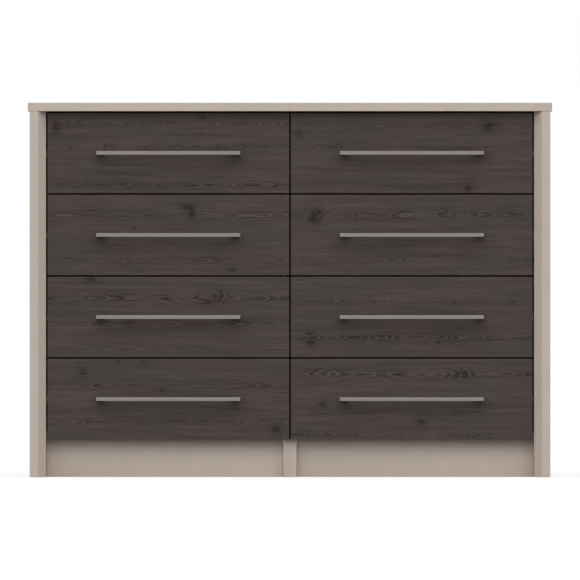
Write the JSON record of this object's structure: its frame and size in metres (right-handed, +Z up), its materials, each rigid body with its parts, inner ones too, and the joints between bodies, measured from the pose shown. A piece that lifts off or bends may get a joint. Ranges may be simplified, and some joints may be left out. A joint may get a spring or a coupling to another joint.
{
  "type": "chest of drawers",
  "caption": "Wide free-standing chest of inset sliding drawers in side-by-side columns, in a bevelled panel carcass over a recessed plinth, each drawer with a long bar handle.",
  "frame": {"origin": "middle of the footprint on the floor, the bar handles counted in the depth", "axes": "+Z up, -Y out of the drawer fronts, +X to the right as seen from the front"},
  "size_m": [1.12, 0.427, 0.8],
  "materials": {
    "carcass": "matt stone-beige foil on board",
    "drawer_front": "dark grey-brown pine woodgrain foil on board, matt",
    "drawer_box": "pale foil-wrapped board, folded at the corners",
    "hardboard": "thin brown hardboard",
    "runner": "off-white moulded plastic",
    "handle": "brushed, satin"
  },
  "bodies": {
    "root": {"top_panel": "carcass", "centre_upright": "carcass", "side_panel_left": "carcass", "side_panel_right": "carcass", "inner_upright_left": "carcass", "inner_upright_right": "carcass", "base_panel_left": "carcass", "base_panel_right": "carcass", "plinth_left": "carcass", "plinth_right": "carcass", "back_panel_left": "hardboard", "back_panel_right": "hardboard", "runner_left_1_inner": "runner", "runner_left_1_outer": "runner", "runner_left_2_inner": "runner", "runner_left_2_outer": "runner", "runner_left_3_inner": "runner", "runner_left_3_outer": "runner", "runner_left_4_inner": "runner", "runner_left_4_outer": "runner", "runner_right_1_inner": "runner", "runner_right_1_outer": "runner", "runner_right_2_inner": "runner", "runner_right_2_outer": "runner", "runner_right_3_inner": "runner", "runner_right_3_outer": "runner", "runner_right_4_inner": "runner", "runner_right_4_outer": "runner"},
    "drawer_left_1": {"drawer_left_1_front": "drawer_front", "drawer_left_1_box": "drawer_box", "drawer_left_1_bottom": "hardboard", "drawer_left_1_handle": "handle"},
    "drawer_left_2": {"drawer_left_2_front": "drawer_front", "drawer_left_2_box": "drawer_box", "drawer_left_2_bottom": "hardboard", "drawer_left_2_handle": "handle"},
    "drawer_left_3": {"drawer_left_3_front": "drawer_front", "drawer_left_3_box": "drawer_box", "drawer_left_3_bottom": "hardboard", "drawer_left_3_handle": "handle"},
    "drawer_left_4": {"drawer_left_4_front": "drawer_front", "drawer_left_4_box": "drawer_box", "drawer_left_4_bottom": "hardboard", "drawer_left_4_handle": "handle"},
    "drawer_right_1": {"drawer_right_1_front": "drawer_front", "drawer_right_1_box": "drawer_box", "drawer_right_1_bottom": "hardboard", "drawer_right_1_handle": "handle"},
    "drawer_right_2": {"drawer_right_2_front": "drawer_front", "drawer_right_2_box": "drawer_box", "drawer_right_2_bottom": "hardboard", "drawer_right_2_handle": "handle"},
    "drawer_right_3": {"drawer_right_3_front": "drawer_front", "drawer_right_3_box": "drawer_box", "drawer_right_3_bottom": "hardboard", "drawer_right_3_handle": "handle"},
    "drawer_right_4": {"drawer_right_4_front": "drawer_front", "drawer_right_4_box": "drawer_box", "drawer_right_4_bottom": "hardboard", "drawer_right_4_handle": "handle"}
  },
  "joints": [
    {"name": "slide_left_1", "type": "slide", "parent": "root", "child": "drawer_left_1", "axis": [0, -1, 0], "range_m": [0, 0.26]},
    {"name": "slide_left_2", "type": "slide", "parent": "root", "child": "drawer_left_2", "axis": [0, -1, 0], "range_m": [0, 0.26]},
    {"name": "slide_left_3", "type": "slide", "parent": "root", "child": "drawer_left_3", "axis": [0, -1, 0], "range_m": [0, 0.26]},
    {"name": "slide_left_4", "type": "slide", "parent": "root", "child": "drawer_left_4", "axis": [0, -1, 0], "range_m": [0, 0.26]},
    {"name": "slide_right_1", "type": "slide", "parent": "root", "child": "drawer_right_1", "axis": [0, -1, 0], "range_m": [0, 0.26]},
    {"name": "slide_right_2", "type": "slide", "parent": "root", "child": "drawer_right_2", "axis": [0, -1, 0], "range_m": [0, 0.26]},
    {"name": "slide_right_3", "type": "slide", "parent": "root", "child": "drawer_right_3", "axis": [0, -1, 0], "range_m": [0, 0.26]},
    {"name": "slide_right_4", "type": "slide", "parent": "root", "child": "drawer_right_4", "axis": [0, -1, 0], "range_m": [0, 0.26]}
  ]
}
